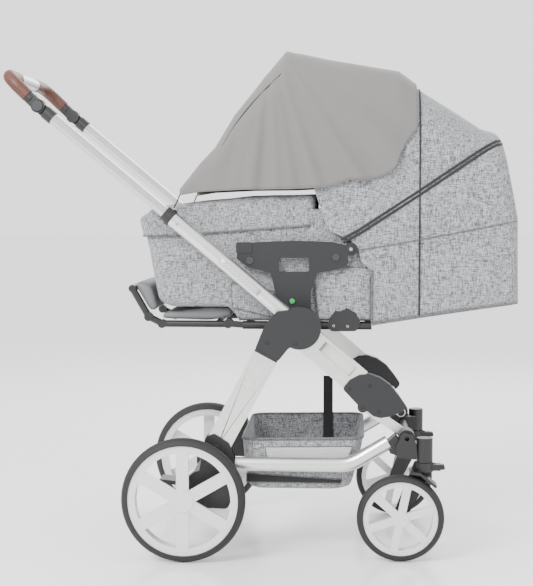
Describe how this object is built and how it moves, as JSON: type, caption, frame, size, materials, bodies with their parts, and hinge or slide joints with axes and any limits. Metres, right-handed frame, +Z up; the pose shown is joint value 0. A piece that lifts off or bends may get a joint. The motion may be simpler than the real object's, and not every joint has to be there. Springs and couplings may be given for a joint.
{
  "type": "baby stroller",
  "caption": "Folding baby stroller with spoked wheels, telescopic push handle, shopping basket and a carrycot seat unit with hood and sun sail.",
  "frame": {"origin": "middle of the whole stroller's footprint box, on the floor", "axes": "+X forward from the push handle to the swivel wheels, +Y left, +Z up"},
  "size_m": [1.1788, 0.5936, 1.1534],
  "materials": {
    "silver_tube": "satin anodised",
    "bright_tube": "brushed",
    "dark_casting": "fine grained moulding",
    "black_plastic": "moulded",
    "axle_steel": "powder coated",
    "tyre_rubber": "soft moulded rubber",
    "rim_plastic": "silver painted",
    "grip_leather": "stitched",
    "handle_centre": "silver",
    "black_tube": "powder coated",
    "melange_fabric": "melange weave",
    "jersey_fabric": "plain jersey",
    "webbing": "webbing",
    "footrest_cover": "soft",
    "button_plastic": "moulded"
  },
  "bodies": {
    "chassis": {"side_rail_right": "silver_tube", "side_rail_left": "silver_tube", "rear_axle": "axle_steel", "rear_bracket_right": "black_plastic", "rear_bracket_left": "black_plastic", "front_bracket_right": "black_plastic", "front_bracket_left": "black_plastic", "front_cross_tube": "axle_steel", "basket": "melange_fabric", "basket_strap": "webbing"},
    "rear_legs": {"rear_leg_right": "silver_tube", "rear_leg_left": "silver_tube", "hinge_cover_right": "dark_casting", "hinge_cover_left": "dark_casting"},
    "push_frame": {"centre_hub_right": "dark_casting", "centre_hub_left": "dark_casting", "front_tube_right": "silver_tube", "front_tube_left": "silver_tube", "fold_shell_right": "dark_casting", "fold_shell_left": "dark_casting", "push_tube_right": "silver_tube", "push_tube_left": "silver_tube", "tube_collars": "black_plastic"},
    "front_links": {"front_links": "silver_tube"},
    "handle_slider": {"inner_tube_right": "bright_tube", "inner_tube_left": "bright_tube", "knuckle_bases": "black_plastic"},
    "handle": {"handlebar": "black_plastic", "grip_right": "grip_leather", "grip_left": "grip_leather", "handlebar_centre": "handle_centre"},
    "tilt_button_right": {"tilt_button_right": "button_plastic"},
    "tilt_button_left": {"tilt_button_left": "button_plastic"},
    "rear_wheel_right": {"rear_tyre_right": "tyre_rubber", "rear_rim_right": "rim_plastic"},
    "rear_wheel_left": {"rear_tyre_left": "tyre_rubber", "rear_rim_left": "rim_plastic"},
    "front_wheel_right": {"front_tyre_right": "tyre_rubber", "front_rim_right": "rim_plastic"},
    "front_wheel_left": {"front_tyre_left": "tyre_rubber", "front_rim_left": "rim_plastic"},
    "fork_right": {"fork_right": "black_plastic"},
    "fork_left": {"fork_left": "black_plastic"},
    "swivel_lock_right": {"swivel_lock_right": "black_plastic"},
    "swivel_lock_left": {"swivel_lock_left": "black_plastic"},
    "brake_pedal": {"brake_pedal": "black_plastic"},
    "seat": {"side_plate_right": "dark_casting", "side_plate_left": "dark_casting", "seat_frame": "black_tube", "seat_pad": "melange_fabric", "carrycot": "melange_fabric", "foot_apron": "melange_fabric", "hood": "melange_fabric", "sun_sail": "jersey_fabric"},
    "release_button_right": {"release_button_right": "button_plastic"},
    "release_button_left": {"release_button_left": "button_plastic"},
    "footrest": {"footrest_frame": "black_tube", "footrest_pad": "footrest_cover"},
    "backrest": {"backrest": "melange_fabric"},
    "hood_bow": {"hood_bow": "black_tube"}
  },
  "joints": [
    {"name": "fold", "type": "hinge", "parent": "chassis", "child": "rear_legs", "pos_m": [-0.09259, 0, 0.254], "axis": [0, 1, 0], "range_deg": [0, 26.75]},
    {"name": "push_frame_hinge", "type": "hinge", "parent": "rear_legs", "child": "push_frame", "pos_m": [0.09341, 0, 0.523], "axis": [0, 1, 0], "range_deg": [-65.86, 0]},
    {"name": "front_link_hinge", "type": "hinge", "parent": "chassis", "child": "front_links", "pos_m": [0.33441, 0, 0.275], "axis": [0, 1, 0], "range_deg": [0, 100.92]},
    {"name": "seat_lift", "type": "slide", "parent": "push_frame", "child": "seat", "axis": [0, 0, 1], "range_m": [0, 0.2801]},
    {"name": "handle_extend", "type": "slide", "parent": "push_frame", "child": "handle_slider", "axis": [-0.766, 0, 0.6428], "range_m": [-0.18, 0]},
    {"name": "handle_tilt", "type": "hinge", "parent": "handle_slider", "child": "handle", "pos_m": [-0.50104, 0, 1.0218], "axis": [0, 1, 0], "range_deg": [-70, 40]},
    {"name": "tilt_button_press_right", "type": "slide", "parent": "handle", "child": "tilt_button_right", "axis": [0, 1, 0], "range_m": [0, 0.002], "stiffness_N_per_m": 400},
    {"name": "tilt_button_press_left", "type": "slide", "parent": "handle", "child": "tilt_button_left", "axis": [0, -1, 0], "range_m": [0, 0.002], "stiffness_N_per_m": 400},
    {"name": "rear_wheel_spin_right", "type": "hinge", "parent": "chassis", "child": "rear_wheel_right", "pos_m": [-0.16459, -0.277, 0.14], "axis": [0, 1, 0], "continuous": true},
    {"name": "rear_wheel_spin_left", "type": "hinge", "parent": "chassis", "child": "rear_wheel_left", "pos_m": [-0.16459, 0.277, 0.14], "axis": [0, 1, 0], "continuous": true},
    {"name": "swivel_right", "type": "hinge", "parent": "chassis", "child": "fork_right", "pos_m": [0.37441, -0.222, 0.21], "axis": [0, 0, 1], "continuous": true},
    {"name": "swivel_left", "type": "hinge", "parent": "chassis", "child": "fork_left", "pos_m": [0.37441, 0.222, 0.21], "axis": [0, 0, 1], "continuous": true},
    {"name": "front_wheel_spin_right", "type": "hinge", "parent": "fork_right", "child": "front_wheel_right", "pos_m": [0.32041, -0.241, 0.098], "axis": [0, 1, 0], "continuous": true},
    {"name": "front_wheel_spin_left", "type": "hinge", "parent": "fork_left", "child": "front_wheel_left", "pos_m": [0.32041, 0.241, 0.098], "axis": [0, 1, 0], "continuous": true},
    {"name": "swivel_lock_turn_right", "type": "hinge", "parent": "fork_right", "child": "swivel_lock_right", "pos_m": [0.40241, -0.222, 0.211], "axis": [0, 1, 0], "range_deg": [0, 20]},
    {"name": "swivel_lock_turn_left", "type": "hinge", "parent": "fork_left", "child": "swivel_lock_left", "pos_m": [0.40241, 0.222, 0.211], "axis": [0, 1, 0], "range_deg": [0, 20]},
    {"name": "brake_press", "type": "hinge", "parent": "chassis", "child": "brake_pedal", "pos_m": [-0.16459, -0.126, 0.14], "axis": [0, 1, 0], "range_deg": [-20, 0]},
    {"name": "release_press_right", "type": "slide", "parent": "seat", "child": "release_button_right", "axis": [0, 1, 0], "range_m": [0, 0.0015], "stiffness_N_per_m": 400},
    {"name": "release_press_left", "type": "slide", "parent": "seat", "child": "release_button_left", "axis": [0, -1, 0], "range_m": [0, 0.0015], "stiffness_N_per_m": 400},
    {"name": "footrest_turn", "type": "hinge", "parent": "seat", "child": "footrest", "pos_m": [-0.07459, 0, 0.525], "axis": [0, 1, 0], "range_deg": [-60, 0]},
    {"name": "backrest_recline", "type": "hinge", "parent": "seat", "child": "backrest", "pos_m": [0.18041, 0, 0.541], "axis": [0, 1, 0], "range_deg": [-35, 0]},
    {"name": "hood_fold", "type": "hinge", "parent": "seat", "child": "hood_bow", "pos_m": [0.20741, 0, 0.698], "axis": [0, 1, 0], "range_deg": [0, 40], "deforming": ["hood", "sun_sail"]}
  ],
  "couplings": [
    {"joint": "push_frame_hinge", "follows": "fold", "ratio": -2.4611},
    {"joint": "front_link_hinge", "follows": "fold", "ratio": 3.7717},
    {"joint": "seat_lift", "follows": "fold", "m_per_rad": 0.59962}
  ]
}
